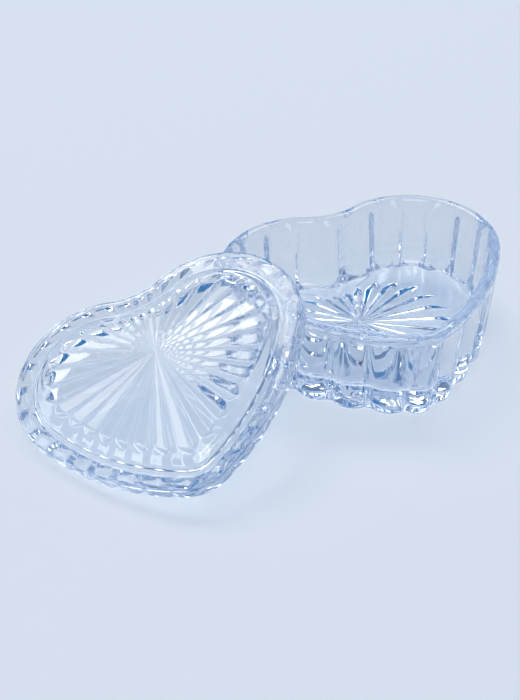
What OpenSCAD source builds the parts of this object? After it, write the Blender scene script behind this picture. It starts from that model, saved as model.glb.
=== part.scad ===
// Heart-shaped trinket box in clear pressed glass: a deep box and its loose lid.
// The box stands at the origin, with the cleft of its heart towards +Y and its tip towards -Y.
// The lid is off: its lower edge is on the table and its right lobe leans on the box's rim.

/* [Heart outline] */
// Radius of each lobe at the rim
lobe_r = 33.2; // [32.5:0.1:34]
// Distance of each lobe's centre from the middle line
lobe_x = 21.8; // [21.4:0.1:22.2]
// How far the lobes' centres lie behind the heart's middle
lobe_y = 13.8; // [13:0.1:14.5]
// Radius of the hollow between the lobes
cleft_r = 26; // [20:0.5:30]
// Radius of the tip
tip_r = 17.2; // [16:0.1:18]
// How far the tip's centre lies in front of the heart's middle
tip_y = 29.8; // [29:0.1:31]
// Radius of the long curve from each lobe to the tip
side_r = 99; // [95:1:120]

/* [Box] */
// Height of the box without its lid
base_h = 37; // [35:0.1:40]
// Thickness of the wall at the rim
wall = 5.2; // [5:0.1:5.6]
// How far the foot is set in from the rim all round
foot_inset = 3.4; // [3:0.1:3.8]
// Thickness of the solid bottom
floor_t = 8.5; // [7.5:0.1:10]
// How far the inner wall leans in between the rim and the floor
inner_draft = 1.8; // [1.6:0.1:2]
// Radius between the inner wall and the floor
floor_fillet = 3.6; // [3:0.1:4]
// Number of convex flutes round the outside
flute_count = 21; // [21]
// Depth of the sharp valley between two flutes
flute_depth = 2.2; // [1:0.1:2.3]
// Height of the plain band between the rim's edge and the flutes
rim_band = 3.4; // [3:0.1:4]
// Number of V-cut rays in the star under the floor
star_rays = 24; // [20, 24, 28]
// Reach of the star, as a share of the distance from its centre to the rim
star_reach = 0.64; // [0.5:0.01:0.68]

/* [Lid] */
// How far the lid stands out past the box's rim
lid_overhang = 0.3; // [0:0.1:1]
// Thickness of the lid's flange
flange_t = 6.5; // [6:0.1:7]
// Radius of the flange's top edge
flange_r = 2; // [1.5:0.1:2.5]
// Rise of the middle panel above the flange
panel_rise = 1.7; // [1:0.1:2]
// Height of the locating ring under the lid
ring_h = 2; // [1:0.1:2.5]
// Gap between the locating ring and the box's mouth
ring_gap = 0.8; // [0.5:0.1:1]
// Width of the locating ring
ring_w = 3; // [2:0.1:3.4]
// Number of V-cut rays in the sunburst on the lid
sun_rays = 32; // [28, 32, 36]

/* [Where the lid lies] */
// The lid's middle, to the left of the box's middle
lid_left = 87.9; // [87.9:0.1:95]
// The lid's middle, in front of the box's middle
lid_front = 18.6; // [18:0.1:19]
// Angle between the lid and the table
lid_tilt = 25.3; // [25.3:0.1:30]
// Compass direction in which the lid slopes down, anticlockwise from +X
lid_slope = 205.2; // [205:0.1:206]
// Turn of the lid's heart about its own centre
lid_turn = -6.9; // [-8:0.1:-6]

/* [Hidden] */

glass = [0.72, 0.82, 0.93, 0.6];

// The outline is four arcs on each side: cleft, lobe, side and tip.
cleft_y = lobe_y + sqrt(pow(lobe_r + cleft_r, 2) - pow(lobe_x, 2));
lobe_c = [lobe_x, lobe_y];
tip_c = [0, -tip_y];
lobe_to_tip = norm(tip_c - lobe_c);
tip_dir = (tip_c - lobe_c) / lobe_to_tip;
side_along = (pow(side_r - lobe_r, 2) - pow(side_r - tip_r, 2) + pow(lobe_to_tip, 2)) / (2 * lobe_to_tip);
side_across = sqrt(pow(side_r - lobe_r, 2) - pow(side_along, 2));
side_c = lobe_c + side_along * tip_dir + side_across * [tip_dir.y, -tip_dir.x];
lobe_start = atan2(cleft_y - lobe_y, -lobe_x);
lobe_end = atan2(lobe_y - side_c.y, lobe_x - side_c.x);
side_end = atan2(-tip_y - side_c.y, -side_c.x);

// Each arc: centre, radius, first angle, last angle, and 1 where it bulges out or -1 where it is hollow.
arcs = [
    [[0, cleft_y], cleft_r, -90, lobe_start - 180, -1],
    [lobe_c, lobe_r, lobe_start, lobe_end, 1],
    [side_c, side_r, lobe_end, side_end, 1],
    [tip_c, tip_r, side_end, -90, 1]
];
function arc_length(arc) = arc[1] * abs(arc[3] - arc[2]) * PI / 180;
half_length = arc_length(arcs[0]) + arc_length(arcs[1]) + arc_length(arcs[2]) + arc_length(arcs[3]);

// Samples per flute, and round the whole outline.
flute_steps = 6;
steps = flute_count * flute_steps;
half_steps = steps / 2;

// A point at a distance along the right half, moved in from the outline by inset.
function arc_point(along, inset, k = 0) =
    let (arc = arcs[k], run = arc_length(arc))
    along > run && k < 3
        ? arc_point(along - run, inset, k + 1)
        : let (turn = arc[2] + (arc[3] - arc[2]) * along / run)
          arc[0] + (arc[1] - arc[4] * inset) * [cos(turn), sin(turn)];

// Sample i of the outline: clockwise from the cleft, the left half mirrors the right one.
function outline_point(i, inset) =
    let (p = arc_point(min(i, steps - i) * half_length / half_steps, inset))
    i <= half_steps ? p : [-p.x, p.y];

// 0 on a flute's crest and 1 in the valley between two flutes.
function flute_valley(i) = pow(2 * (i % flute_steps) / flute_steps - 1, 2);

// A closed ring of points round the heart. cut is the depth of the flutes.
function ring(inset, z, cut = 0) = [
    for (i = [0 : steps - 1])
        let (p = outline_point(i, inset + cut * flute_valley(i)))
        [p.x, p.y, z]
];

// Rays of a star lie between the heart's cleft and its tip, round this centre.
star_c = [0, 12.5];

// Distance from the star's centre to a ring, in a given direction.
function reach(points, turn) = lookup(turn, [
    for (p = points) [atan2(p.y - star_c.y, p.x - star_c.x), norm([p.x, p.y] - star_c)]
]);
function half_turn(turn) = turn > 180 ? turn - 360 : turn;

// Share of a ray's length at which its groove is deepest and its ridges end.
deepest_share = 0.82;
// Width of the flat top of a ridge at its outer end.
ridge_w = 0.8;

// Direction of a place in a star, counted in rays clockwise from the cleft.
function ray_turn(place, rays) = half_turn(450 - 360 * place / rays);

// Points of a star-cut. For each ray, clockwise: its pointed end, its deepest point and the two
// corners of the flat ridge after it. The last point is the centre. phase is where the first ray
// lies, in rays clockwise from the cleft.
function star_points(rays, phase, edge, share, z, slope) = concat(
    [for (k = [0 : rays - 1]) each
        let (
            ray = ray_turn(k + phase, rays),
            ridge = ray_turn(k + phase + 0.5, rays),
            far = share * reach(edge, ray),
            deep = deepest_share * far,
            ridge_far = deepest_share * share * reach(edge, ridge),
            spread = atan(ridge_w / 2 / ridge_far)
        )
        [
            [star_c.x + far * cos(ray), star_c.y + far * sin(ray), z],
            [star_c.x + deep * cos(ray), star_c.y + deep * sin(ray), z + slope * deep],
            [star_c.x + ridge_far * cos(ridge + spread), star_c.y + ridge_far * sin(ridge + spread), z],
            [star_c.x + ridge_far * cos(ridge - spread), star_c.y + ridge_far * sin(ridge - spread), z]
        ]
    ],
    [[star_c.x, star_c.y, z]]
);

// Flanks and flat ridges of the rays, clockwise seen from above. first is the index of the star's
// first point.
function star_faces(rays, first) = [
    for (k = [0 : rays - 1]) each
        let (
            tip = first + 4 * k,
            deep = tip + 1,
            after = tip + 2,
            before = first + 4 * ((k + rays - 1) % rays) + 3,
            centre = first + 4 * rays
        )
        [
            [tip, after, deep],
            [deep, after, centre],
            [after, after + 1, centre],
            [before, tip, deep],
            [before, deep, centre]
        ]
];

// Clockwise angle from the cleft to a point, seen from the star's centre.
function clock(p) = (450 - atan2(p.y - star_c.y, p.x - star_c.x)) % 360;

// The star's edge has three points for each ray: its end and both corners of the ridge after it.
// This is the one that a point faces, counted from the first ray's end.
function facing_edge(p, rays, phase) =
    let (place = clock(p) * rays / 360 - phase)
    3 * floor(place) + floor(4 * (place - floor(place)));

// Where the star's edge point j stands among the star's points.
function edge_index(j, rays) =
    let (k = (j + 3 * rays) % (3 * rays), corner = k % 3)
    4 * floor(k / 3) + (corner == 0 ? 0 : corner + 1);

// Triangles of the flat between a ring and the star inside it, clockwise from above. Each sample of the
// ring is joined to the star's edge point in the same direction.
function star_border(points, ring_first, rays, phase, star_first) =
    let (
        start = facing_edge(points[ring_first], rays, phase),
        facing = [
            for (i = [0 : steps])
                i == steps ? start + 3 * rays : facing_edge(points[ring_first + i], rays, phase)
        ]
    )
    [
        for (i = [0 : steps - 1]) each concat(
            [[
                ring_first + i,
                ring_first + (i + 1) % steps,
                star_first + edge_index(facing[i + 1], rays)
            ]],
            facing[i + 1] > facing[i]
                ? [
                    for (j = [facing[i] : facing[i + 1] - 1]) [
                        ring_first + i,
                        star_first + edge_index(j + 1, rays),
                        star_first + edge_index(j, rays)
                    ]
                ]
                : []
        )
    ];

// Triangles from a ring to a point inside it, clockwise from above.
function fan_faces(ring_first, middle) = [
    for (i = [0 : steps - 1]) [ring_first + i, ring_first + (i + 1) % steps, middle]
];

// Bands of triangles that join each ring to the next one.
function band_faces(ring_count) = [
    for (r = [0 : ring_count - 2], i = [0 : steps - 1]) each
        let (
            a = r * steps + i,
            b = r * steps + (i + 1) % steps
        )
        [[a, b, b + steps], [a, b + steps, a + steps]]
];

function turned_over(faces) = [for (f = faces) [for (i = [len(f) - 1 : -1 : 0]) f[i]]];

// ---- Box ----
star_slope = 0.075;
// A ridge, not a groove, points at the cleft, so that the opposite one passes through the origin.
star_phase = 0.5;
lip_r = wall / 2;
lip_z = base_h - lip_r;
foot_round = 0.8;
flute_fade = 2.5;
flute_top = base_h - rim_band;
waist_inset = foot_inset * 0.45;
shoulder_inset = 0.4;
band_inset = 0.3;
inner_foot = wall + inner_draft;

// Rings of the box: up the outside, over the lip and down to the floor.
base_rings = concat(
    [
        ring(foot_inset + foot_round, 0, flute_depth),
        ring(foot_inset, foot_round, flute_depth),
        ring(waist_inset, flute_top / 2, flute_depth),
        ring(shoulder_inset, flute_top - flute_fade, flute_depth),
        ring(band_inset, flute_top, 0)
    ],
    [for (turn = [0 : 30 : 180]) ring(lip_r * (1 - cos(turn)), lip_z + lip_r * sin(turn))],
    [
        for (turn = [0 : 30 : 90])
            ring(inner_foot + floor_fillet * (1 - cos(turn)), floor_t + floor_fillet * (1 - sin(turn)))
    ]
);
base_points = [for (r = base_rings) each r];
base_star = star_points(star_rays, star_phase, ring(0, 0), star_reach, 0, star_slope);

module box_base() {
    star_first = len(base_points);
    floor_middle = star_first + len(base_star);
    color(glass)
        polyhedron(
            points = concat(base_points, base_star, [[star_c.x, star_c.y, floor_t]]),
            faces = concat(
                band_faces(len(base_rings)),
                fan_faces(star_first - steps, floor_middle),
                turned_over(star_border(base_points, 0, star_rays, star_phase, star_first)),
                turned_over(star_faces(star_rays, star_first))
            )
        );
}

// ---- Lid, drawn flat with its flange's underside at z = 0 ----
sun_slope = -0.045;
sun_share = 0.97;
sun_phase = 0;
edge_round = 0.6;
ring_draft = 0.3;
ring_out = wall + ring_gap;
ring_in = ring_out + ring_w;
panel_foot = 7.5;
panel_edge = 11.5;
panel_z = flange_t + panel_rise;

// Rings of the lid: out along the underside, up the edge and in over the top.
lid_rings = concat(
    [
        ring(ring_in + ring_draft, 0),
        ring(ring_in, -ring_h),
        ring(ring_out + ring_draft, -ring_h),
        ring(ring_out, 0),
        ring(edge_round - lid_overhang, 0),
        ring(-lid_overhang, edge_round)
    ],
    [
        for (turn = [0 : 30 : 90])
            ring(flange_r * (1 - cos(turn)) - lid_overhang, flange_t - flange_r * (1 - sin(turn)))
    ],
    [
        ring(panel_foot, flange_t),
        ring(panel_edge, panel_z)
    ]
);
lid_points = [for (r = lid_rings) each r];
lid_star = star_points(sun_rays, sun_phase, lid_rings[len(lid_rings) - 1], sun_share, panel_z, sun_slope);

// Height of a point of the lid once the lid is turned and tilted about its middle.
function tilted_height(p) =
    p.z * cos(lid_tilt)
    - sin(lid_tilt) * (p.x * cos(lid_slope - lid_turn) + p.y * sin(lid_slope - lid_turn));
lid_lift = -min([for (p = lid_points) tilted_height(p)]);

module lid() {
    star_first = len(lid_points);
    under_middle = star_first + len(lid_star);
    color(glass)
        translate([-lid_left, -lid_front, lid_lift])
            rotate(a = lid_tilt, v = [-sin(lid_slope), cos(lid_slope), 0])
                rotate([0, 0, lid_turn])
                    polyhedron(
                        points = concat(lid_points, lid_star, [[star_c.x, star_c.y, 0]]),
                        faces = concat(
                            band_faces(len(lid_rings)),
                            turned_over(fan_faces(0, under_middle)),
                            star_border(lid_points, star_first - steps, sun_rays, sun_phase, star_first),
                            star_faces(sun_rays, star_first)
                        )
                    );
}

box_base();
lid();
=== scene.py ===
"""Heart-shaped trinket box in clear pressed glass, with its lid leaning on the rim.

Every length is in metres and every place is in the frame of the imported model.
"""

import logging
import math
from dataclasses import dataclass, field
from enum import Enum

import bmesh
import bpy
import numpy as np
from mathutils import Matrix, Vector


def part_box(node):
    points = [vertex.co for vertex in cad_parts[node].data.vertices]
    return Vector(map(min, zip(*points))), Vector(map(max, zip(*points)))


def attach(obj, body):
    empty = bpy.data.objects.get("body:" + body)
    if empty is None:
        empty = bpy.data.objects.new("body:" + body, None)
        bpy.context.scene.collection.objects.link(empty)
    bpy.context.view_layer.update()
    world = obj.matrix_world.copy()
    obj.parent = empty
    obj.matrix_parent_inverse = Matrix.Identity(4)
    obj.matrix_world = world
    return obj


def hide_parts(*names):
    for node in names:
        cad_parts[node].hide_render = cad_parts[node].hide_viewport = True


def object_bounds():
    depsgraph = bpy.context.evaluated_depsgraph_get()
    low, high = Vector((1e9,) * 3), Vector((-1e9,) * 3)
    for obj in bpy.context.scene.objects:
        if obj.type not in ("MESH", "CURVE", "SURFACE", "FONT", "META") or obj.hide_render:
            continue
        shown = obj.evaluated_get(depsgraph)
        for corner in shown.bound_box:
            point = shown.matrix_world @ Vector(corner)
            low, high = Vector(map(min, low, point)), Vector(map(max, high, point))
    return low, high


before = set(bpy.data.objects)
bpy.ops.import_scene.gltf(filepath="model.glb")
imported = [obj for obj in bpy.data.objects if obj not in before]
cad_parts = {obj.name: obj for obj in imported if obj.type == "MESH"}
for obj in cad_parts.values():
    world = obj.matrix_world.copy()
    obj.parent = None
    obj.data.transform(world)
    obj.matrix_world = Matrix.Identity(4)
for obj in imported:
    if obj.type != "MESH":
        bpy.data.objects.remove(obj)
CAD_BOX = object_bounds()

LOG = logging.getLogger("trinket_box")
MM = 0.001
QUARTER = math.pi / 2
Colour = tuple[float, float, float]


class Body(Enum):
    """The bodies that a piece can ride on."""

    BASE = "base"
    LID = "lid"


class Slot(Enum):
    """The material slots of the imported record."""

    BOX = "box_glass"
    LID = "lid_glass"


# ---- Outline ---------------------------------------------------------------


@dataclass(frozen=True)
class Arc:
    """One arc of the right half of the heart. bulge is 1 where it bulges out and -1 where it is hollow."""

    centre: tuple[float, float]
    radius: float
    first: float
    last: float
    bulge: int

    @property
    def length(self) -> float:
        """Length of the arc on the outline itself."""
        return self.radius * abs(self.last - self.first)

    def point(self, along: float, inset: float) -> tuple[float, float]:
        """A point of the arc, moved into the heart.

        Args:
            along: distance along the arc from its start.
            inset: how far the point is moved in from the outline.

        Returns:
            The point's x and y.
        """
        turn = self.first + (self.last - self.first) * along / self.length
        reach = self.radius - self.bulge * inset
        return self.centre[0] + reach * math.cos(turn), self.centre[1] + reach * math.sin(turn)


@dataclass(frozen=True)
class HeartOutline:
    """The heart at the box's rim: cleft, lobe, side and tip arcs on each side of the middle line."""

    lobe_r: float = 33.2 * MM
    lobe_x: float = 21.8 * MM
    lobe_y: float = 13.8 * MM
    cleft_r: float = 26 * MM
    tip_r: float = 17.2 * MM
    tip_y: float = 29.8 * MM
    side_r: float = 99 * MM
    star_y: float = 12.5 * MM
    fine_steps: int = 1441

    def arcs(self) -> list[Arc]:
        """The arcs of the right half.

        Returns:
            Four arcs, in order from the cleft to the tip.
        """
        cleft_y = self.lobe_y + math.sqrt((self.lobe_r + self.cleft_r) ** 2 - self.lobe_x**2)
        lobe, tip = Vector((self.lobe_x, self.lobe_y)), Vector((0, -self.tip_y))
        apart = (tip - lobe).length
        toward = (tip - lobe) / apart
        near, far = self.side_r - self.lobe_r, self.side_r - self.tip_r
        along = (near**2 - far**2 + apart**2) / (2 * apart)
        across = math.sqrt(near**2 - along**2)
        side = lobe + along * toward + across * Vector((toward.y, -toward.x))
        lobe_start = math.atan2(cleft_y - self.lobe_y, -self.lobe_x)
        lobe_end = math.atan2(lobe.y - side.y, lobe.x - side.x)
        side_end = math.atan2(tip.y - side.y, tip.x - side.x)
        return [
            Arc((0, cleft_y), self.cleft_r, -QUARTER, lobe_start - math.pi, -1),
            Arc(tuple(lobe), self.lobe_r, lobe_start, lobe_end, 1),
            Arc(tuple(side), self.side_r, lobe_end, side_end, 1),
            Arc(tuple(tip), self.tip_r, side_end, -QUARTER, 1),
        ]

    def ring(self, shares: np.ndarray, insets: np.ndarray) -> np.ndarray:
        """Points round the heart, clockwise from the cleft.

        Args:
            shares: where each point stands, from 0 to 1 of the way round.
            insets: how far each point is moved in from the outline.

        Returns:
            One row of x and y for each point.
        """
        arcs = self.arcs()
        half = sum(arc.length for arc in arcs)
        points = []
        for share, inset in zip(shares, insets):
            side = 1 if share <= 0.5 else -1
            along = 2 * half * min(share, 1 - share)
            for arc in arcs:
                if along <= arc.length or arc is arcs[-1]:
                    break
                along -= arc.length
            x, y = arc.point(along, inset)
            points.append((side * x, y))
        return np.array(points)

    def reach(self, inset: float, bearings: np.ndarray) -> np.ndarray:
        """Distance from the star's centre to the outline.

        Args:
            inset: how far the outline is moved in.
            bearings: directions in radians, clockwise from the cleft.

        Returns:
            One distance for each direction.
        """
        shares = np.linspace(0, 1, self.fine_steps)
        x, y = self.ring(shares, np.full(len(shares), inset)).T
        bearing = np.unwrap(np.arctan2(x, y - self.star_y))
        return np.interp(bearings, bearing - bearing[0], np.hypot(x, y - self.star_y))

    def rays(self, bearings: np.ndarray, reach: np.ndarray) -> np.ndarray:
        """Points at a distance from the star's centre in each direction."""
        return np.stack([reach * np.sin(bearings), self.star_y + reach * np.cos(bearings)], axis=1)


def eased(steps: int) -> np.ndarray:
    """Positions from 0 to 1, closer together towards both ends, without the last one."""
    even = np.arange(steps) / steps
    return even * even * (3 - 2 * even)


def beats(count: int, half_steps: int) -> np.ndarray:
    """Sample positions in units of one beat, closer together at each beat and half-way between beats."""
    half = eased(half_steps) / 2
    return (np.arange(count)[:, None] + np.concatenate([half, half + 0.5])[None]).ravel()


def rounded_tent(beat: np.ndarray, rounding: float) -> np.ndarray:
    """A ridge and groove that repeat each beat.

    Args:
        beat: position in beats; the groove lies at whole beats.
        rounding: share of a half beat over which groove and ridge are rounded.

    Returns:
        1 in the groove, 0 on the ridge, straight in between.
    """
    away = 2 * np.abs(beat - np.round(beat))
    bend = rounding / 2
    tent = np.where(away < rounding, bend + away**2 / (2 * rounding), away)
    top = 1 - away
    tent = np.where(top < rounding, 1 - bend - top**2 / (2 * rounding), tent)
    return (1 - tent - bend) / (1 - 2 * bend)


def soft_over_zero(value: np.ndarray, softness: float) -> np.ndarray:
    """The value where it is above zero, and zero elsewhere, with a soft corner."""
    return (value + np.sqrt(value**2 + softness**2)) / 2 - softness / 2


def ring_at(points: np.ndarray, z: np.ndarray | float) -> np.ndarray:
    """Points of a ring with their heights."""
    return np.column_stack([points, np.broadcast_to(z, len(points))])


@dataclass(frozen=True)
class CutRays:
    """V-shaped cuts that spread from the star's centre, grow deeper outwards and run out at a blunt end."""

    slope: float
    deepest: float
    soft: float
    shares: tuple[float, ...]

    def rings(
        self, outline: HeartOutline, bearings: np.ndarray, tent: np.ndarray, far: np.ndarray
    ) -> list[np.ndarray]:
        """Rings of the cuts, in the order of their shares.

        Args:
            outline: the heart whose star centre the cuts spread from.
            bearings: directions of the samples.
            tent: 1 in the groove and 0 on the ridge, for each sample.
            far: how far the cuts reach, for each sample.

        Returns:
            Rings whose third column is the depth of the cut.
        """
        rings = []
        for share in self.shares:
            r = share * far
            run_out = self.slope * far * self.deepest * np.clip((1 - share) / (1 - self.deepest), 0, 1)
            depth = np.minimum(self.slope * r, run_out) - (1 - tent) * self.slope * r
            rings.append(ring_at(outline.rays(bearings, r), soft_over_zero(depth, self.soft)))
        return rings


# ---- Meshes ----------------------------------------------------------------


@dataclass
class RingStack:
    """Rings of equal length that are joined in order and closed by a point at each end."""

    first: tuple[float, float, float]
    last: tuple[float, float, float]
    rings: list[np.ndarray] = field(default_factory=list)
    sharp_from: float = math.radians(32)

    def add(self, *rings: np.ndarray) -> None:
        """Puts more rings on the stack."""
        self.rings.extend(rings)

    def faces(self) -> list[tuple[int, ...]]:
        """The faces between the rings and the fan at each end.

        Returns:
            The point numbers of each face. The two end points come after all the rings.
        """
        count = len(self.rings[0])
        top = (len(self.rings) - 1) * count
        first = len(self.rings) * count
        pairs = [(i, (i + 1) % count) for i in range(count)]
        faces = [(r + i, r + j, r + count + j, r + count + i) for r in range(0, top, count) for i, j in pairs]
        faces += [(first, j, i) for i, j in pairs]
        faces += [(top + i, top + j, first + 1) for i, j in pairs]
        return faces

    def mesh(self, name: str, place: Matrix) -> bpy.types.Object:
        """Makes the closed surface.

        Args:
            name: the new object's name.
            place: where the surface's own frame lies.

        Returns:
            The new object, with smooth faces and sharp edges where faces meet at an angle.
        """
        points = [tuple(p) for ring in self.rings for p in ring] + [self.first, self.last]
        data = bpy.data.meshes.new(name)
        data.from_pydata(points, [], self.faces())
        data.transform(place)
        shaped = bmesh.new()
        shaped.from_mesh(data)
        bmesh.ops.recalc_face_normals(shaped, faces=shaped.faces)
        for face in shaped.faces:
            face.smooth = True
        for edge in shaped.edges:
            edge.smooth = edge.calc_face_angle(0) < self.sharp_from
        shaped.to_mesh(data)
        shaped.free()
        made = bpy.data.objects.new(name, data)
        bpy.context.scene.collection.objects.link(made)
        return made


# ---- Finishes --------------------------------------------------------------


def new_noise(nodes: bpy.types.Nodes, size: float, detail: float) -> bpy.types.Node:
    """Adds a noise.

    Args:
        nodes: where it goes.
        size: about how large its blotches are.
        detail: how many finer layers it has.

    Returns:
        The new node.
    """
    noise = nodes.new("ShaderNodeTexNoise")
    noise.inputs["Scale"].default_value = 1 / size
    noise.inputs["Detail"].default_value = detail
    return noise


@dataclass(frozen=True)
class PressedGlass:
    """Clear pressed glass, fire-polished, with the slow ripple and faint haze of a mould."""

    name: str
    tint: Colour = (0.835, 0.865, 0.905)
    depth_colour: Colour = (0.0, 0.3, 0.75)
    depth_density: float = 4.0
    shadow_tint: Colour = (0.72, 0.76, 0.81)
    bend: float = 1.52
    ripple_size: float = 9 * MM
    ripple_detail: float = 2
    ripple_height: float = 0.02 * MM
    haze_size: float = 22.5 * MM
    haze_detail: float = 5
    haze_from: float = 0.45
    haze_to: float = 0.8
    clear: float = 0.0
    hazy: float = 0.03

    def material(self) -> bpy.types.Material:
        """Builds the node material.

        Returns:
            The new material, with its depth tint, ripple, haze and pale shadow.
        """
        made = bpy.data.materials.new(self.name)
        made.use_nodes = True
        nodes, links = made.node_tree.nodes, made.node_tree.links
        shader = nodes["Principled BSDF"]
        shader.inputs["Base Color"].default_value = (*self.tint, 1)
        shader.inputs["IOR"].default_value = self.bend
        shader.inputs["Transmission Weight"].default_value = 1.0
        depth = nodes.new("ShaderNodeVolumeAbsorption")
        depth.inputs["Color"].default_value = (*self.depth_colour, 1)
        depth.inputs["Density"].default_value = self.depth_density
        links.new(depth.outputs["Volume"], nodes["Material Output"].inputs["Volume"])
        self.add_ripple(made)
        self.add_haze(made)
        self.let_lamps_through(made)
        return made

    def add_ripple(self, made: bpy.types.Material) -> None:
        """Bends the surface a little, as a mould leaves it.

        Args:
            made: the material to work on.
        """
        nodes, links = made.node_tree.nodes, made.node_tree.links
        place = nodes.new("ShaderNodeTexCoord")
        ripple = new_noise(nodes, self.ripple_size, self.ripple_detail)
        links.new(place.outputs["Object"], ripple.inputs["Vector"])
        bump = nodes.new("ShaderNodeBump")
        bump.inputs["Strength"].default_value = 1.0
        bump.inputs["Distance"].default_value = self.ripple_height
        links.new(ripple.outputs["Fac"], bump.inputs["Height"])
        links.new(bump.outputs["Normal"], nodes["Principled BSDF"].inputs["Normal"])

    def add_haze(self, made: bpy.types.Material) -> None:
        """Makes the polish a little duller in soft patches.

        Args:
            made: the material to work on.
        """
        nodes, links = made.node_tree.nodes, made.node_tree.links
        place = nodes.new("ShaderNodeTexCoord")
        haze = new_noise(nodes, self.haze_size, self.haze_detail)
        links.new(place.outputs["Object"], haze.inputs["Vector"])
        spread = nodes.new("ShaderNodeMapRange")
        spread.inputs["From Min"].default_value = self.haze_from
        spread.inputs["From Max"].default_value = self.haze_to
        spread.inputs["To Min"].default_value = self.clear
        spread.inputs["To Max"].default_value = self.hazy
        links.new(haze.outputs["Fac"], spread.inputs["Value"])
        links.new(spread.outputs["Result"], nodes["Principled BSDF"].inputs["Roughness"])

    def let_lamps_through(self, made: bpy.types.Material) -> None:
        """Lets lamp light pass through the glass, so that its shadow stays pale.

        Args:
            made: the material to work on.
        """
        nodes, links = made.node_tree.nodes, made.node_tree.links
        ray = nodes.new("ShaderNodeLightPath")
        passed = nodes.new("ShaderNodeBsdfTransparent")
        passed.inputs["Color"].default_value = (*self.shadow_tint, 1)
        either = nodes.new("ShaderNodeMixShader")
        links.new(ray.outputs["Is Shadow Ray"], either.inputs[0])
        links.new(nodes["Principled BSDF"].outputs["BSDF"], either.inputs[1])
        links.new(passed.outputs["BSDF"], either.inputs[2])
        links.new(either.outputs["Shader"], nodes["Material Output"].inputs["Surface"])


@dataclass(frozen=True)
class FloorPaint:
    """Matt pale paint for the floor."""

    colour: Colour = (0.745, 0.78, 0.86)
    darkest: float = 0.985
    grain_scale: float = 3
    dullness: float = 0.9

    def material(self) -> bpy.types.Material:
        """Builds the node material.

        Returns:
            The new material, whose tone varies very slightly over the floor.
        """
        made = bpy.data.materials.new("pale_floor")
        made.use_nodes = True
        nodes, links = made.node_tree.nodes, made.node_tree.links
        shader = nodes["Principled BSDF"]
        shader.inputs["Roughness"].default_value = self.dullness
        grain = nodes.new("ShaderNodeTexNoise")
        grain.inputs["Scale"].default_value = self.grain_scale
        tone = nodes.new("ShaderNodeMix")
        tone.data_type = "RGBA"
        tone.inputs["A"].default_value = (*self.colour, 1)
        tone.inputs["B"].default_value = (*(self.darkest * c for c in self.colour), 1)
        links.new(grain.outputs["Fac"], tone.inputs["Factor"])
        links.new(tone.outputs["Result"], shader.inputs["Base Color"])
        return made


# ---- The two pieces of glass -----------------------------------------------


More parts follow.
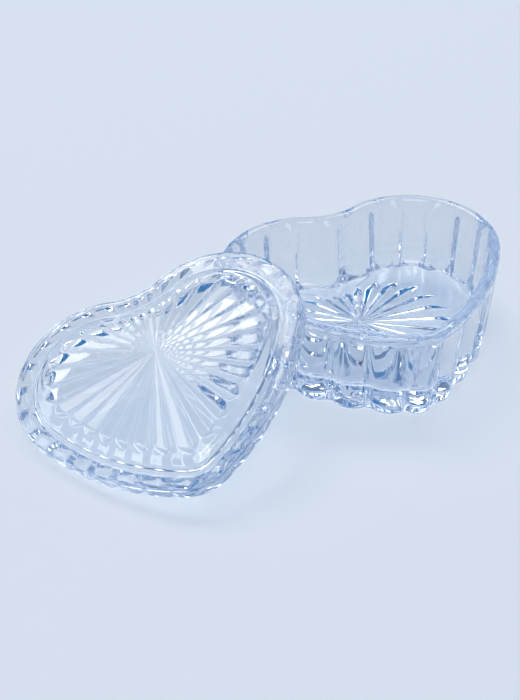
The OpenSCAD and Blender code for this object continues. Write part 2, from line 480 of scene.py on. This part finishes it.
@dataclass
class GlassBox:
    """The deep heart-shaped box: convex flutes outside, a smooth inner wall, and a star under the floor."""

    outline: HeartOutline
    finish: PressedGlass
    wall: float = 5.2 * MM
    foot_inset: float = 3.4 * MM
    foot_round: float = 0.8 * MM
    floor_t: float = 8.5 * MM
    floor_fillet: float = 3.6 * MM
    inner_draft: float = 1.8 * MM
    flutes: int = 21
    flute_depth: float = 2.2 * MM
    flute_share: float = 0.844
    flute_fade: float = 3.4 * MM
    flute_half_steps: int = 8
    rim_band: float = 3.4 * MM
    band_inset: float = 0.3 * MM
    band_step: float = 0.12 * MM
    band_step_rise: float = 0.35 * MM
    lean_bend: float = 1.15
    star_rays: int = 24
    star_reach: float = 0.64
    star_front: float = 0.2
    ray_rounding: float = 0.08
    star_cuts: CutRays = CutRays(
        slope=0.08,
        deepest=0.82,
        soft=0.05 * MM,
        shares=(0.03, 0.08, 0.2, 0.35, 0.5, 0.62, 0.72, 0.78, 0.82, 0.86, 0.9, 0.94, 0.97, 1.0, 1.04),
    )
    floor_shares: tuple[float, ...] = (0.9, 0.75, 0.6, 0.45, 0.3, 0.15, 0.05)
    round_steps: int = 5
    wall_steps: int = 14
    fade_steps: int = 9
    lip_steps: int = 15
    inner_steps: int = 9
    fillet_steps: int = 8

    @property
    def height(self) -> float:
        """Height of the box, from the frame."""
        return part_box("box_base")[1].z

    def flute_shares(self) -> np.ndarray:
        """Where the samples stand on the way round the heart."""
        return beats(self.flutes, self.flute_half_steps) / self.flutes

    def valley(self) -> np.ndarray:
        """The depth of the flutes.

        Returns:
            0 on each flute's crest and 1 in the flat channel between two flutes.
        """
        beat = beats(self.flutes, self.flute_half_steps)
        across = 1 - 2 * np.abs(beat - np.round(beat))
        return np.minimum(across / self.flute_share, 1) ** 2

    def wall_ring(self, inset: float, z: float, cut: float = 0.0) -> np.ndarray:
        """A ring of the wall.

        Args:
            inset: how far it lies in from the rim's outline.
            z: its height.
            cut: depth of the flutes there.

        Returns:
            The ring's points.
        """
        return ring_at(self.outline.ring(self.flute_shares(), inset + cut * self.valley()), z)

    def star(self) -> list[np.ndarray]:
        """The star-cut underside, whose rays are longer towards the tip.

        Returns:
            Rings from the star's centre outwards.
        """
        per_ray = len(self.flute_shares()) // self.star_rays
        beat = beats(self.star_rays, per_ray // 2)
        bearings = beat * 2 * math.pi / self.star_rays
        longer = np.clip(-np.cos(bearings), 0, 1) * self.star_front
        far = (self.star_reach + longer) * self.outline.reach(0, bearings)
        rings = self.star_cuts.rings(self.outline, bearings, rounded_tent(beat + 0.5, self.ray_rounding), far)
        rings[-1][:, 2] = 0
        return rings

    def outside(self) -> list[np.ndarray]:
        """The foot and the fluted wall, up to the lip.

        Returns:
            Rings from the foot upwards.
        """
        top = self.height - self.rim_band
        rings = []
        for turn in np.linspace(0, QUARTER, self.round_steps):
            inset = self.foot_inset + self.foot_round * (1 - math.sin(turn))
            rings.append(self.wall_ring(inset, self.foot_round * (1 - math.cos(turn)), self.flute_depth))
        for rise in np.linspace(0, 1, self.wall_steps)[1:]:
            z = self.foot_round + (top - self.flute_fade - self.foot_round) * rise
            lean = (1 - z / top) ** self.lean_bend
            inset = self.foot_inset * lean + self.band_inset * (1 - lean)
            rings.append(self.wall_ring(inset, z, self.flute_depth))
        for rise in np.linspace(0, 1, self.fade_steps)[1:]:
            z = top - self.flute_fade + self.flute_fade * rise
            inset = self.band_inset + self.foot_inset * (1 - z / top) ** self.lean_bend
            rings.append(self.wall_ring(inset, z, self.flute_depth * math.sqrt(1 - rise**2)))
        rings.append(self.wall_ring(self.band_step, top + self.band_step_rise))
        return rings

    def lip_and_inside(self) -> list[np.ndarray]:
        """The round lip, the smooth inner wall and the floor.

        Returns:
            Rings from outside the lip, over it and down to the middle of the floor.
        """
        lip_r = self.wall / 2
        lip_z = self.height - lip_r
        rings = [
            self.wall_ring(lip_r * (1 - math.cos(turn)), lip_z + lip_r * math.sin(turn))
            for turn in np.linspace(0, math.pi, self.lip_steps)
        ]
        low = self.floor_t + self.floor_fillet
        for drop in np.linspace(0, 1, self.inner_steps)[1:-1]:
            rings.append(self.wall_ring(self.wall + self.inner_draft * drop, lip_z + (low - lip_z) * drop))
        for turn in np.linspace(0, QUARTER, self.fillet_steps):
            inset = self.wall + self.inner_draft + self.floor_fillet * (1 - math.cos(turn))
            rings.append(self.wall_ring(inset, self.floor_t + self.floor_fillet * (1 - math.sin(turn))))
        edge = rings[-1][:, :2]
        centre = np.array([0, self.outline.star_y])
        for share in self.floor_shares:
            rings.append(ring_at(centre + share * (edge - centre), self.floor_t))
        return rings

    def build(self) -> bpy.types.Object:
        """Makes the box, dresses it and puts it on its body.

        Returns:
            The finished piece.
        """
        stack = RingStack((0, self.outline.star_y, 0), (0, self.outline.star_y, self.floor_t))
        stack.add(*self.star(), *self.outside(), *self.lip_and_inside())
        made = stack.mesh("glass_box", Matrix.Identity(4))
        made.data.materials.append(self.finish.material())
        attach(made, Body.BASE.value)
        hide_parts("box_base")
        return made


@dataclass
class GlassLid:
    """The loose lid: a rounded flange, a raised panel with a sunburst, and a locating ring below."""

    outline: HeartOutline
    finish: PressedGlass
    overhang: float = 0.3 * MM
    flange_t: float = 6.5 * MM
    flange_r: float = 2 * MM
    flange_shares: tuple[float, ...] = (0.35, 0.7, 0.93)
    flange_cut: float = 1.5 * MM
    under_r: float = 0.6 * MM
    panel_rise: float = 1.7 * MM
    panel_foot: float = 7.5 * MM
    panel_edge: float = 11.5 * MM
    panel_steps: int = 9
    ring_h: float = 2 * MM
    ring_out: float = 6 * MM
    ring_w: float = 3 * MM
    ring_draft: float = 0.3 * MM
    ring_hollow: float = 1.2 * MM
    under_shares: tuple[float, ...] = (0.03, 0.2, 0.4, 0.6, 0.8, 1)
    ring_inner_root: tuple[tuple[float, float], ...] = ((0.7, -0.02), (0.4, -0.2), (0.28, -0.5))
    ring_inner_foot: tuple[tuple[float, float], ...] = ((0, 0.45), (-0.15, 0.12), (-0.5, 0))
    ring_outer_foot: tuple[tuple[float, float], ...] = ((0.5, 0), (0.15, 0.12), (0, 0.45))
    ring_outer_root: tuple[tuple[float, float], ...] = ((0.08, -0.3), (-0.3, 0))
    flange_cuts: tuple[tuple[float, float], ...] = (
        (5.2, 0.3), (4.6, 0.7), (3.8, 1), (2.8, 1), (1.8, 1), (1.1, 0.75), (0.6, 0.3),
    )
    rays: int = 32
    ray_half_steps: int = 6
    ray_share: float = 0.99
    ray_rounding: float = 0.08
    ray_cuts: CutRays = CutRays(
        slope=0.055,
        deepest=0.93,
        soft=0.04 * MM,
        shares=(
            1.0, 0.985, 0.97, 0.955, 0.94, 0.925, 0.9, 0.86, 0.8,
            0.72, 0.62, 0.52, 0.42, 0.32, 0.23, 0.15, 0.08, 0.03,
        ),
    )
    left: float = 87.9 * MM
    front: float = 18.6 * MM
    tilt: float = math.radians(25.3)
    slope: float = math.radians(205.2)
    turn: float = math.radians(-6.9)
    round_steps: int = 5
    edge_steps: int = 8

    def bearings(self) -> np.ndarray:
        """Directions of the samples, clockwise from the cleft."""
        return beats(self.rays, self.ray_half_steps) * 2 * math.pi / self.rays

    def tent(self) -> np.ndarray:
        """1 in each ray's groove and 0 on the ridge between two rays."""
        return rounded_tent(beats(self.rays, self.ray_half_steps), self.ray_rounding)

    def ring(self, inset: float, z: np.ndarray | float) -> np.ndarray:
        """A ring that follows the heart at an inset, with its heights."""
        bearings = self.bearings()
        return ring_at(self.outline.rays(bearings, self.outline.reach(inset, bearings)), z)

    def rings_at(
        self, base: float, steps: tuple[tuple[float, float], ...], low: float = 0
    ) -> list[np.ndarray]:
        """Rings at steps in millimetres: how much further in than base, and how high above low."""
        return [self.ring(base + inset * MM, (z + low) * MM) for inset, z in steps]

    def underside(self) -> list[np.ndarray]:
        """The hollow middle, the rounded locating ring and the flange's underside with its shallow cuts.

        Returns:
            Rings from the middle outwards.
        """
        bearings = self.bearings()
        inner = self.ring_out + self.ring_w
        outer = self.ring_out + self.ring_draft
        foot = -self.ring_h / MM
        inside = self.outline.reach(inner + self.ring_hollow, bearings)
        rings = [ring_at(self.outline.rays(bearings, share * inside), 0) for share in self.under_shares]
        rings += self.rings_at(inner, self.ring_inner_root)
        rings += self.rings_at(inner, self.ring_inner_foot, foot)
        rings += self.rings_at(outer, self.ring_outer_foot, foot)
        rings += self.rings_at(self.ring_out, self.ring_outer_root)
        for inset, share in self.flange_cuts:
            rings.append(self.ring(inset * MM, self.flange_cut * share * self.tent()))
        return rings

    def edge_and_flange(self) -> list[np.ndarray]:
        """The rounded edge, the flange and the step up to the panel.

        Returns:
            Rings from the lower edge up and inwards.
        """
        rings = []
        for turn in np.linspace(0, QUARTER, self.round_steps):
            inset = self.under_r * (1 - math.sin(turn)) - self.overhang
            rings.append(self.ring(inset, self.under_r * (1 - math.cos(turn))))
        rings.append(self.ring(-self.overhang, (self.flange_t - self.flange_r + self.under_r) / 2))
        for turn in np.linspace(0, QUARTER, self.edge_steps):
            inset = self.flange_r * (1 - math.cos(turn)) - self.overhang
            rings.append(self.ring(inset, self.flange_t - self.flange_r * (1 - math.sin(turn))))
        for share in self.flange_shares:
            rings.append(self.ring(self.flange_r + share * (self.panel_foot - self.flange_r), self.flange_t))
        for share in np.linspace(0, 1, self.panel_steps):
            inset = self.panel_foot + share * (self.panel_edge - self.panel_foot)
            rise = share * share * (3 - 2 * share)
            rings.append(self.ring(inset, self.flange_t + self.panel_rise * rise))
        return rings

    def sunburst(self) -> list[np.ndarray]:
        """The raised panel with its cut rays.

        Returns:
            Rings from the panel's edge to its middle.
        """
        bearings = self.bearings()
        far = self.ray_share * self.outline.reach(self.panel_edge, bearings)
        rings = self.ray_cuts.rings(self.outline, bearings, self.tent(), far)
        for ring in rings:
            ring[:, 2] = self.flange_t + self.panel_rise - ring[:, 2]
        return rings

    def place(self) -> Matrix:
        """Where the lid's own frame lies when it leans on the box, apart from its height."""
        lean = Matrix.Rotation(self.tilt, 4, Vector((-math.sin(self.slope), math.cos(self.slope), 0)))
        return Matrix.Translation((-self.left, -self.front, 0)) @ lean @ Matrix.Rotation(self.turn, 4, "Z")

    def build(self) -> bpy.types.Object:
        """Makes the lid, dresses it and puts it on its body.

        Returns:
            The finished piece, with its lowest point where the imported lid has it.
        """
        top_z = self.flange_t + self.panel_rise
        stack = RingStack((0, self.outline.star_y, 0), (0, self.outline.star_y, top_z))
        stack.add(*self.underside(), *self.edge_and_flange(), *self.sunburst())
        made = stack.mesh("glass_lid", self.place())
        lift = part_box("lid")[0].z - min(v.co.z for v in made.data.vertices)
        made.data.transform(Matrix.Translation((0, 0, lift)))
        made.data.materials.append(self.finish.material())
        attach(made, Body.LID.value)
        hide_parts("lid")
        return made


# ---- Studio ----------------------------------------------------------------


def direction(azimuth: float, elevation: float) -> Vector:
    """The way from the object to a viewer: azimuth 0 stands in front, at -Y, and 90 on the right, at +X."""
    turn, rise = math.radians(azimuth), math.radians(elevation)
    return Vector((math.sin(turn) * math.cos(rise), -math.cos(turn) * math.cos(rise), math.sin(rise)))


@dataclass(frozen=True)
class SoftLight:
    """A square soft box that shines at the object and isn't seen itself."""

    name: str
    azimuth: float
    elevation: float
    size: float
    power: float
    distance: float = 4.5
    colour: Colour = (1, 0.95, 0.82)

    def build(self, target: Vector) -> bpy.types.Object:
        """Hangs the light and aims it.

        Args:
            target: the point that it shines at.

        Returns:
            The new light.
        """
        lamp = bpy.data.lights.new(self.name, "AREA")
        lamp.shape = "SQUARE"
        lamp.size = self.size
        lamp.energy = self.power
        lamp.color = self.colour
        made = bpy.data.objects.new(self.name, lamp)
        away = direction(self.azimuth, self.elevation)
        made.location = target + self.distance * away
        made.rotation_euler = away.to_track_quat("Z", "Y").to_euler()
        made.visible_camera = False
        bpy.context.scene.collection.objects.link(made)
        return made


@dataclass(frozen=True)
class Flag:
    """A curved coloured card that stands round the set, from low to high, so that glass edges pick it up."""

    name: str
    azimuth: float
    width: float
    low: float
    high: float
    colour: Colour
    radius: float = 1.4
    corners: int = 13

    def build(self) -> bpy.types.Object:
        """Makes the curved card.

        Returns:
            The new card, which neither the camera nor the floor sees.
        """
        first, last = self.azimuth - self.width / 2, self.azimuth + self.width / 2
        turns = np.radians(np.linspace(first, last, self.corners))
        points = [
            (self.radius * math.sin(t), -self.radius * math.cos(t), self.radius * math.tan(math.radians(e)))
            for t in turns
            for e in (self.low, self.high)
        ]
        faces = [(2 * i, 2 * i + 2, 2 * i + 3, 2 * i + 1) for i in range(len(turns) - 1)]
        data = bpy.data.meshes.new(self.name)
        data.from_pydata(points, [], faces)
        made = bpy.data.objects.new(self.name, data)
        bpy.context.scene.collection.objects.link(made)
        data.materials.append(self.material())
        made.visible_camera = False
        made.visible_diffuse = False
        made.visible_shadow = False
        return made

    def material(self) -> bpy.types.Material:
        """Builds the card's glow.

        Returns:
            The new material.
        """
        paint = bpy.data.materials.new(self.name)
        paint.use_nodes = True
        nodes, links = paint.node_tree.nodes, paint.node_tree.links
        nodes.remove(nodes["Principled BSDF"])
        glow = nodes.new("ShaderNodeEmission")
        glow.inputs["Color"].default_value = (*self.colour, 1)
        links.new(glow.outputs["Emission"], nodes["Material Output"].inputs["Surface"])
        return paint


@dataclass
class Studio:
    """The floor, the sky, the lights and the camera."""

    sky: Colour = (0.36, 0.60, 1.0)
    sky_strength: float = 0.36
    horizon: Colour = (0.62, 0.70, 0.81)
    haze_low: float = 13
    haze_high: float = 26
    bounces: int = 40
    middle: tuple[float, float, float] = (-0.04, -0.01, 0.02)
    lights: tuple[SoftLight, ...] = (
        SoftLight("key_light", azimuth=-173, elevation=57, size=2.25, power=80),
        SoftLight("side_light", azimuth=118, elevation=56, size=1.73, power=40),
        SoftLight("front_light", azimuth=-28, elevation=54, size=2.3, power=68),
    )
    flags: tuple[Flag, ...] = (
        Flag("front_flag", azimuth=20, width=60, low=1, high=15, colour=(0.32, 0.45, 0.66)),
        Flag("right_flag", azimuth=98, width=62, low=1, high=24, colour=(0.0, 0.24, 0.60)),
        Flag("back_flag", azimuth=172, width=84, low=1, high=42, colour=(0.0, 0.20, 0.52)),
        Flag("ink_flag", azimuth=178, width=7, low=14, high=40, colour=(0.005, 0.03, 0.08), radius=1.35),
        Flag("navy_flag", azimuth=-150, width=14, low=1, high=16, colour=(0.01, 0.06, 0.16)),
        Flag("left_flag", azimuth=-95, width=56, low=1, high=16, colour=(0.22, 0.38, 0.62)),
    )
    floor_size: float = 8.0
    floor_gap: float = 0.05 * MM
    look_at: tuple[float, float, float] = (-0.0505, -0.0096, 0.020)
    view_azimuth: float = -22.06
    view_elevation: float = 36.27
    view_distance: float = 0.6912
    lens_length: float = 97.43

    def build(self) -> None:
        """Sets the whole stage up."""
        scene = bpy.context.scene
        scene.view_settings.view_transform = "Standard"
        scene.cycles.max_bounces = self.bounces
        scene.cycles.glossy_bounces = self.bounces
        scene.cycles.transmission_bounces = self.bounces
        scene.world = self.sky_world()
        for lamp in self.lights:
            lamp.build(Vector(self.middle))
        for flag in self.flags:
            flag.build()
        self.lay_floor()
        self.aim_camera()

    def sky_world(self) -> bpy.types.World:
        """Makes the sky, pale at the horizon and blue above.

        Returns:
            The new world.
        """
        world = bpy.data.worlds.new("studio")
        world.use_nodes = True
        nodes, links = world.node_tree.nodes, world.node_tree.links
        look = nodes.new("ShaderNodeTexCoord")
        split = nodes.new("ShaderNodeSeparateXYZ")
        links.new(look.outputs["Generated"], split.inputs["Vector"])
        rise = nodes.new("ShaderNodeMapRange")
        rise.interpolation_type = "SMOOTHSTEP"
        rise.inputs["From Min"].default_value = math.sin(math.radians(self.haze_low))
        rise.inputs["From Max"].default_value = math.sin(math.radians(self.haze_high))
        links.new(split.outputs["Z"], rise.inputs["Value"])
        tone = nodes.new("ShaderNodeMix")
        tone.data_type = "RGBA"
        tone.inputs["A"].default_value = (*self.horizon, 1)
        tone.inputs["B"].default_value = (*(self.sky_strength * c for c in self.sky), 1)
        links.new(rise.outputs["Result"], tone.inputs["Factor"])
        links.new(tone.outputs["Result"], nodes["Background"].inputs["Color"])
        return world

    def lay_floor(self) -> None:
        """Lays the plain floor under the object."""
        half = self.floor_size / 2
        corners = [(-half, -half, 0), (half, -half, 0), (half, half, 0), (-half, half, 0)]
        data = bpy.data.meshes.new("floor")
        data.from_pydata(corners, [], [(0, 1, 2, 3)])
        made = bpy.data.objects.new("floor", data)
        made.location.z = CAD_BOX[0].z - self.floor_gap
        data.materials.append(FloorPaint().material())
        bpy.context.scene.collection.objects.link(made)

    def aim_camera(self) -> None:
        """Puts the camera where the object is seen from above its front left."""
        lens = bpy.data.cameras.new("camera")
        lens.lens = self.lens_length
        made = bpy.data.objects.new("camera", lens)
        bpy.context.scene.collection.objects.link(made)
        away = direction(self.view_azimuth, self.view_elevation)
        made.location = Vector(self.look_at) + self.view_distance * away
        made.rotation_euler = away.to_track_quat("Z", "Y").to_euler()
        bpy.context.scene.camera = made


def main() -> None:
    """Builds the studio and both pieces, and reports each piece."""
    logging.basicConfig(level=logging.INFO, format="%(name)s: %(message)s")
    outline = HeartOutline()
    Studio().build()
    for part in (
        GlassBox(outline, PressedGlass("box_crystal")),
        GlassLid(outline, PressedGlass("lid_crystal")),
    ):
        piece = part.build()
        LOG.info("%s: %d faces", piece.name, len(piece.data.polygons))


if __name__ == "__main__":
    main()
